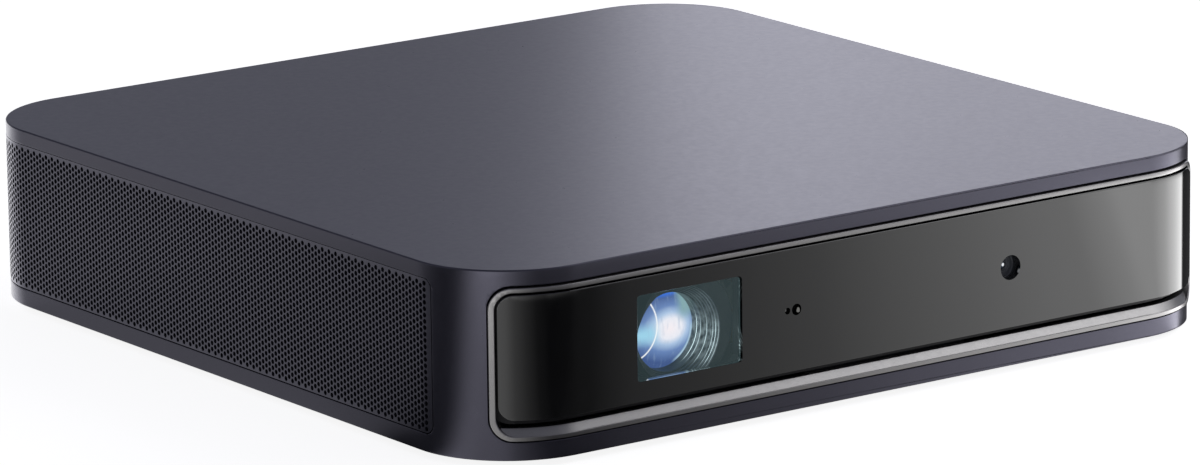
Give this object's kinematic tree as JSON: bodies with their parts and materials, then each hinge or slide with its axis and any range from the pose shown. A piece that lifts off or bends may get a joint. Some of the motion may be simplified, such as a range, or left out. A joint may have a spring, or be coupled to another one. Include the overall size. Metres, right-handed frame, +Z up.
{
  "type": "video projector",
  "caption": "Flat rounded-square video projector with a wrap-round glass front, perforated side grilles, a geared focus lens, blower fans and rear sockets.",
  "frame": {"origin": "on the plane under the feet, at the middle of the bounding box in X and Y", "axes": "+X to the right seen from the front, -Y the way the projector shines, +Z up"},
  "size_m": [0.195, 0.1958, 0.0409],
  "materials": {
    "slate_metal": "satin anodised, slate grey",
    "bright_metal": "satin, lighter than the body",
    "black_glass": "black, high gloss",
    "clear_glass": "clear, coated",
    "coated_glass": "clear with a blue-violet coating",
    "black_plastic": "moulded black plastic",
    "black_rubber": "matt black",
    "cast_metal": "cast, matt",
    "sink_metal": "bare, extruded",
    "copper": "bare copper",
    "brass": "turned",
    "steel": "pressed sheet or turned",
    "gear_plastic": "natural moulded plastic",
    "board": "green solder mask",
    "cone": "matt black paper",
    "phosphor": "disc with a yellow coating"
  },
  "bodies": {
    "housing": {"top_shell": "slate_metal", "base_cover": "black_plastic", "front_left_foot": "black_rubber", "front_right_foot": "black_rubber", "rear_left_foot": "black_rubber", "rear_right_foot": "black_rubber", "tripod_insert": "brass", "left_grille": "slate_metal", "right_grille": "slate_metal", "rear_panel": "black_plastic", "front_bezel": "bright_metal", "front_glass": "black_glass", "lens_window": "clear_glass", "front_frame": "black_plastic", "camera_module": "black_plastic", "camera_lens": "coated_glass", "tof_module": "black_plastic", "mid_frame": "cast_metal", "engine_housing": "cast_metal", "engine_cover": "cast_metal", "dmd_board": "board", "dmd_heatsink": "sink_metal", "laser_module": "copper", "laser_heatsink": "sink_metal", "heat_pipe_lower": "copper", "heat_pipe_upper": "copper", "wheel_motor": "steel", "wheel_bracket": "steel", "lens_mount": "cast_metal", "focus_motor": "steel", "right_fan_housing": "black_plastic", "left_fan_housing": "black_plastic", "main_board": "board", "shield_can": "steel", "left_antenna": "board", "right_antenna": "board", "power_board": "board", "left_speaker_box": "black_plastic", "right_speaker_box": "black_plastic", "dc_socket": "black_plastic", "hdmi_shell": "steel", "hdmi_insert": "black_plastic", "usb_shell": "steel", "usb_insert": "black_plastic", "audio_socket": "black_plastic", "power_switch": "black_plastic"},
    "right_rotor": {"right_fan_rotor": "black_plastic"},
    "left_rotor": {"left_fan_rotor": "black_plastic"},
    "colour_wheel": {"phosphor_wheel": "phosphor"},
    "ring": {"focus_ring": "gear_plastic"},
    "pinion": {"focus_pinion": "gear_plastic"},
    "lens": {"lens_barrel": "black_plastic", "front_lens": "coated_glass"},
    "left_cone": {"left_speaker_cone": "cone"},
    "right_cone": {"right_speaker_cone": "cone"},
    "button": {"power_button": "black_plastic"}
  },
  "joints": [
    {"name": "right_fan_spin", "type": "hinge", "parent": "housing", "child": "right_rotor", "pos_m": [0.044, -0.04362, 0.0193], "axis": [0, 0, 1], "continuous": true},
    {"name": "left_fan_spin", "type": "hinge", "parent": "housing", "child": "left_rotor", "pos_m": [-0.064, 0.01638, 0.0193], "axis": [0, 0, 1], "continuous": true},
    {"name": "phosphor_wheel_spin", "type": "hinge", "parent": "housing", "child": "colour_wheel", "pos_m": [-0.0125, -0.02162, 0.0215], "axis": [1, 0, 0], "continuous": true},
    {"name": "focus_ring_turn", "type": "hinge", "parent": "housing", "child": "ring", "pos_m": [-0.0466, -0.08063, 0.02297], "axis": [0, 1, 0], "range_deg": [0, 90]},
    {"name": "focus_pinion_turn", "type": "hinge", "parent": "housing", "child": "pinion", "pos_m": [-0.0282, -0.08063, 0.02297], "axis": [0, 1, 0], "range_deg": [-324, 0]},
    {"name": "lens_focus_slide", "type": "slide", "parent": "housing", "child": "lens", "axis": [0, 1, 0], "range_m": [0, 0.0024]},
    {"name": "left_cone_stroke", "type": "slide", "parent": "housing", "child": "left_cone", "axis": [-1, 0, 0], "range_m": [-0.0005, 0.0005], "stiffness_N_per_m": 1500},
    {"name": "right_cone_stroke", "type": "slide", "parent": "housing", "child": "right_cone", "axis": [1, 0, 0], "range_m": [-0.0005, 0.0005], "stiffness_N_per_m": 1500},
    {"name": "power_button_press", "type": "slide", "parent": "housing", "child": "button", "axis": [0, -1, 0], "range_m": [0, 0.0005], "stiffness_N_per_m": 1500, "springref_m": -0.0003}
  ],
  "couplings": [
    {"joint": "focus_ring_turn", "follows": "lens_focus_slide", "rad_per_m": 654.5},
    {"joint": "focus_pinion_turn", "follows": "lens_focus_slide", "rad_per_m": -2356.2}
  ]
}
